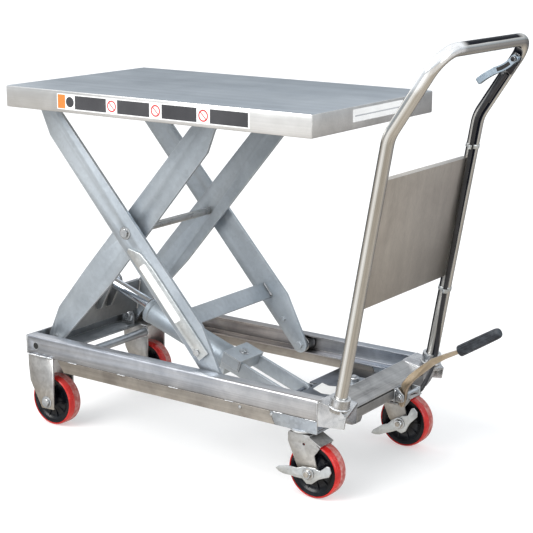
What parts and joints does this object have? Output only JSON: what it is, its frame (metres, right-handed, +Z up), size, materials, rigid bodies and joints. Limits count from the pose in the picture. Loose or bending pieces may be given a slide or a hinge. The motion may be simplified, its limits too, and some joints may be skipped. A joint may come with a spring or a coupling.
{
  "type": "scissor lift table",
  "caption": "Hand pumped scissor lift table on castors, with a flat platform, foot pedal, push handle and lowering lever.",
  "frame": {"origin": "on the floor, centred on the overall length and width", "axes": "+X from the fixed wheels towards the push handle, +Z up, +Y across to the side away from the brake pedals of the near castor"},
  "size_m": [1.1588, 0.5, 0.9879],
  "materials": {
    "brushed_stainless": "brushed stainless sheet",
    "zinc_plate": "matt zinc plated steel plate",
    "polished_tube": "polished",
    "red_polyurethane": "satin red polyurethane",
    "black_plastic": "satin black",
    "turned_steel": "turned, lightly greased"
  },
  "bodies": {
    "base": {"left_end_plate": "brushed_stainless", "left_cross_tube": "zinc_plate", "end_channel": "brushed_stainless", "deck_plate": "brushed_stainless", "pump_block": "zinc_plate", "pedal_bracket": "zinc_plate", "handle_tube": "polished_tube", "handle_panel": "brushed_stainless", "release_bracket": "zinc_plate", "release_cable": "black_plastic", "base_rail_near": "brushed_stainless", "base_rail_far": "brushed_stainless", "rail_stiffener_near": "brushed_stainless", "rail_stiffener_far": "brushed_stainless", "base_hinge_pin_near": "turned_steel", "base_hinge_pin_far": "turned_steel", "fixed_fork_near": "zinc_plate", "fixed_fork_far": "zinc_plate", "fixed_axle_near": "turned_steel", "fixed_axle_far": "turned_steel", "caster_mount_near": "zinc_plate", "caster_mount_far": "zinc_plate", "handle_socket_near": "zinc_plate", "handle_socket_far": "zinc_plate"},
    "inner_arms": {"inner_arm_near": "zinc_plate", "inner_arm_far": "zinc_plate", "inner_cross_plate": "zinc_plate", "centre_shaft": "turned_steel"},
    "outer_arms": {"outer_arm_near": "zinc_plate", "outer_arm_far": "zinc_plate", "outer_tie_plate": "zinc_plate"},
    "platform": {"platform_tray": "brushed_stainless", "platform_hinge_near": "zinc_plate", "platform_hinge_far": "zinc_plate", "platform_track_near": "zinc_plate", "platform_track_far": "zinc_plate"},
    "cylinder": {"cylinder_barrel": "brushed_stainless", "cylinder_yoke": "zinc_plate"},
    "ram": {"piston_rod": "polished_tube"},
    "prop": {"safety_prop": "zinc_plate"},
    "pedal": {"pedal_lever": "zinc_plate", "pedal_grip": "black_plastic"},
    "plunger": {"pump_plunger": "turned_steel"},
    "release": {"release_lever": "polished_tube"},
    "upper_roller_near": {"upper_roller_near": "turned_steel"},
    "lower_roller_near": {"lower_roller_near": "turned_steel"},
    "fixed_wheel_near": {"fixed_tyre_near": "red_polyurethane", "fixed_hub_near": "black_plastic"},
    "swivel_near": {"swivel_fork_near": "zinc_plate"},
    "swivel_wheel_near": {"swivel_tyre_near": "red_polyurethane", "swivel_hub_near": "black_plastic"},
    "brake_near": {"brake_lever_near": "zinc_plate"},
    "upper_roller_far": {"upper_roller_far": "turned_steel"},
    "lower_roller_far": {"lower_roller_far": "turned_steel"},
    "fixed_wheel_far": {"fixed_tyre_far": "red_polyurethane", "fixed_hub_far": "black_plastic"},
    "swivel_far": {"swivel_fork_far": "zinc_plate"},
    "swivel_wheel_far": {"swivel_tyre_far": "red_polyurethane", "swivel_hub_far": "black_plastic"},
    "brake_far": {"brake_lever_far": "zinc_plate"}
  },
  "joints": [
    {"name": "scissor_lift", "type": "hinge", "parent": "base", "child": "inner_arms", "pos_m": [-0.5466, 0, 0.2015], "axis": [0, -1, 0], "range_deg": [-41, 7.32]},
    {"name": "centre_pivot", "type": "hinge", "parent": "inner_arms", "child": "outer_arms", "pos_m": [-0.28756, 0, 0.51022], "axis": [0, -1, 0], "range_deg": [-14.65, 82.01]},
    {"name": "platform_hinge", "type": "hinge", "parent": "outer_arms", "child": "platform", "pos_m": [-0.5466, 0, 0.81893], "axis": [0, -1, 0], "range_deg": [-41.01, 7.33]},
    {"name": "cylinder_tilt", "type": "hinge", "parent": "base", "child": "cylinder", "pos_m": [0.0734, 0, 0.142], "axis": [0, -1, 0], "range_deg": [-0.78, 4.36]},
    {"name": "ram_slide", "type": "slide", "parent": "cylinder", "child": "ram", "axis": [-0.948, 0, 0.3183], "range_m": [-0.0882, 0.0158]},
    {"name": "upper_roller_spin_near", "type": "hinge", "parent": "inner_arms", "child": "upper_roller_near", "pos_m": [-0.02851, -0.133, 0.81893], "axis": [0, 1, 0], "continuous": true},
    {"name": "lower_roller_spin_near", "type": "hinge", "parent": "outer_arms", "child": "lower_roller_near", "pos_m": [-0.02851, -0.1937, 0.2015], "axis": [0, 1, 0], "continuous": true},
    {"name": "fixed_wheel_spin_near", "type": "hinge", "parent": "base", "child": "fixed_wheel_near", "pos_m": [-0.5169, -0.1788, 0.0625], "axis": [0, 1, 0], "continuous": true},
    {"name": "caster_swivel_near", "type": "hinge", "parent": "base", "child": "swivel_near", "pos_m": [0.2274, -0.194, 0.1], "axis": [0, 0, 1], "continuous": true},
    {"name": "caster_wheel_spin_near", "type": "hinge", "parent": "swivel_near", "child": "swivel_wheel_near", "pos_m": [0.2624, -0.194, 0.0625], "axis": [0, 1, 0], "continuous": true},
    {"name": "brake_press_near", "type": "hinge", "parent": "swivel_near", "child": "brake_near", "pos_m": [0.2624, -0.194, 0.0625], "axis": [0, -1, 0], "range_deg": [0, 24]},
    {"name": "upper_roller_spin_far", "type": "hinge", "parent": "inner_arms", "child": "upper_roller_far", "pos_m": [-0.02851, 0.133, 0.81893], "axis": [0, 1, 0], "continuous": true},
    {"name": "lower_roller_spin_far", "type": "hinge", "parent": "outer_arms", "child": "lower_roller_far", "pos_m": [-0.02851, 0.1937, 0.2015], "axis": [0, 1, 0], "continuous": true},
    {"name": "fixed_wheel_spin_far", "type": "hinge", "parent": "base", "child": "fixed_wheel_far", "pos_m": [-0.5169, 0.1788, 0.0625], "axis": [0, 1, 0], "continuous": true},
    {"name": "caster_swivel_far", "type": "hinge", "parent": "base", "child": "swivel_far", "pos_m": [0.2274, 0.194, 0.1], "axis": [0, 0, 1], "continuous": true},
    {"name": "caster_wheel_spin_far", "type": "hinge", "parent": "swivel_far", "child": "swivel_wheel_far", "pos_m": [0.2624, 0.194, 0.0625], "axis": [0, 1, 0], "continuous": true},
    {"name": "brake_press_far", "type": "hinge", "parent": "swivel_far", "child": "brake_far", "pos_m": [0.2624, 0.194, 0.0625], "axis": [0, -1, 0], "range_deg": [-24, 0]},
    {"name": "prop_swing", "type": "hinge", "parent": "outer_arms", "child": "prop", "pos_m": [-0.0766, -0.1786, 0.26], "axis": [0, 1, 0], "range_deg": [0, 124]},
    {"name": "pedal_press", "type": "hinge", "parent": "base", "child": "pedal", "pos_m": [0.3434, 0.02675, 0.181], "axis": [0, 1, 0], "range_deg": [0, 29.8], "stiffness_Nm_per_rad": 8, "springref_deg": -28.65},
    {"name": "plunger_push", "type": "slide", "parent": "base", "child": "plunger", "axis": [-1, 0, 0], "range_m": [0, 0.0098]},
    {"name": "release_squeeze", "type": "hinge", "parent": "base", "child": "release", "pos_m": [0.5191, 0.1605, 0.9326], "axis": [0, -1, 0], "range_deg": [0, 6.9], "stiffness_Nm_per_rad": 3, "springref_deg": -8.59}
  ],
  "couplings": [
    {"joint": "centre_pivot", "follows": "scissor_lift", "ratio": -2},
    {"joint": "platform_hinge", "follows": "scissor_lift", "ratio": 1},
    {"joint": "cylinder_tilt", "follows": "scissor_lift", "ratio": -0.106},
    {"joint": "ram_slide", "follows": "scissor_lift", "m_per_rad": 0.123},
    {"joint": "plunger_push", "follows": "pedal_press", "m_per_rad": 0.0185}
  ]
}
